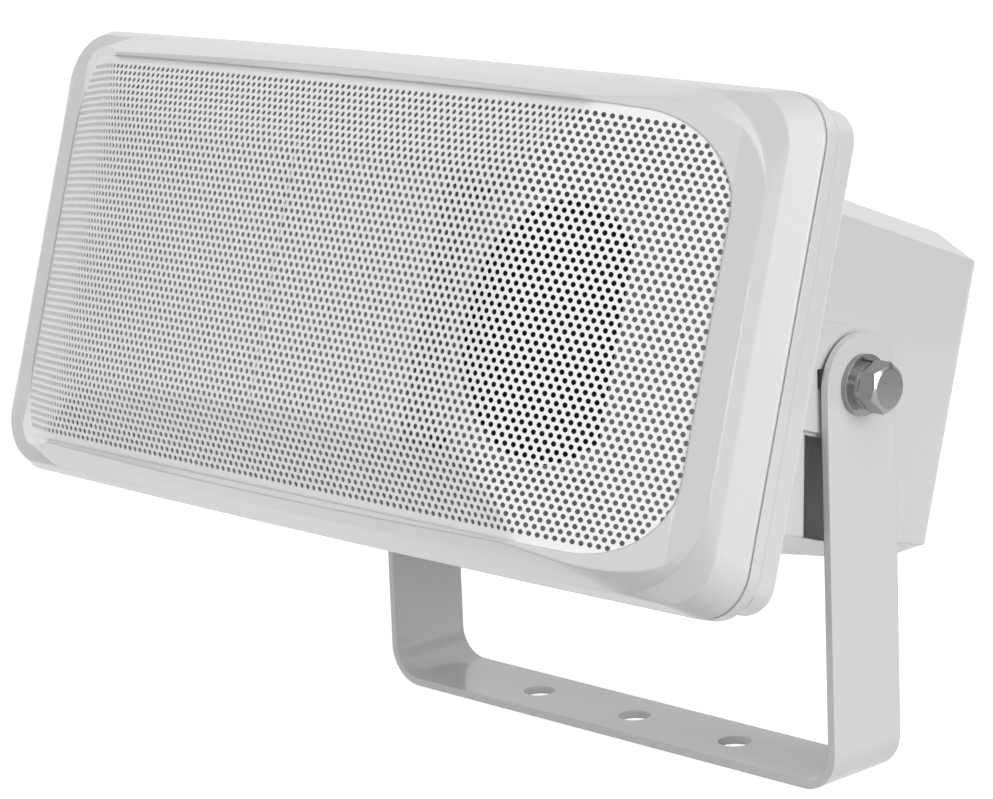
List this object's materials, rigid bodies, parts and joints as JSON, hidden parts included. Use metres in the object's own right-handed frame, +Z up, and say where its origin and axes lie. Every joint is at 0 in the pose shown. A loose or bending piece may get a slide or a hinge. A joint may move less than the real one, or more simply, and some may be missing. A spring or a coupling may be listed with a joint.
{
  "type": "outdoor patio speaker",
  "caption": "Wide weatherproof horn loudspeaker with a bowed perforated grille, tilting between the legs of a folded steel U-bracket.",
  "frame": {"origin": "centre of the bracket's base on the surface it is screwed to", "axes": "+Z up out of that surface, +X along the tilt axis, the grille faces -Y"},
  "size_m": [0.2564, 0.1824, 0.1832],
  "materials": {
    "shell": "light grey moulded plastic, fine satin",
    "painted_strip": "light grey powder coat",
    "grille_sheet": "light grey coated perforated sheet",
    "horn": "light grey moulded plastic",
    "dark_rubber": "matt",
    "steel": "bright stainless",
    "dark_steel": "black coated steel",
    "cone_paper": "black treated paper",
    "spider_cloth": "varnished cloth",
    "copper": "enamelled wire",
    "ferrite": "matt ground ferrite",
    "terminal_board": "brown board with tinned tags",
    "brass_insert": "machined",
    "gland_plastic": "light grey nylon"
  },
  "bodies": {
    "bracket": {"bracket": "painted_strip"},
    "head": {"front_bezel": "shell", "grille": "grille_sheet", "flange_gasket": "dark_rubber", "rear_housing": "shell", "horn_flare": "horn", "housing_screws": "steel", "driver_gasket": "dark_rubber", "driver_basket": "dark_steel", "driver_surround": "dark_rubber", "driver_cone": "cone_paper", "dust_cap": "cone_paper", "driver_spider": "spider_cloth", "driver_voice_coil": "copper", "driver_top_plate": "dark_steel", "driver_magnet": "ferrite", "driver_yoke": "dark_steel", "driver_terminals": "terminal_board", "driver_screws": "steel", "pivot_bolts": "steel", "flat_washers": "steel", "spring_washers": "steel", "friction_washers": "dark_rubber", "threaded_inserts": "brass_insert", "gland_body": "gland_plastic", "gland_lock_nut": "gland_plastic", "gland_seal": "dark_rubber", "gland_dome_nut": "gland_plastic"}
  },
  "joints": [
    {"name": "head_tilt", "type": "hinge", "parent": "bracket", "child": "head", "pos_m": [0, 0, 0.1004], "axis": [-1, 0, 0], "range_deg": [-40, 70]}
  ]
}
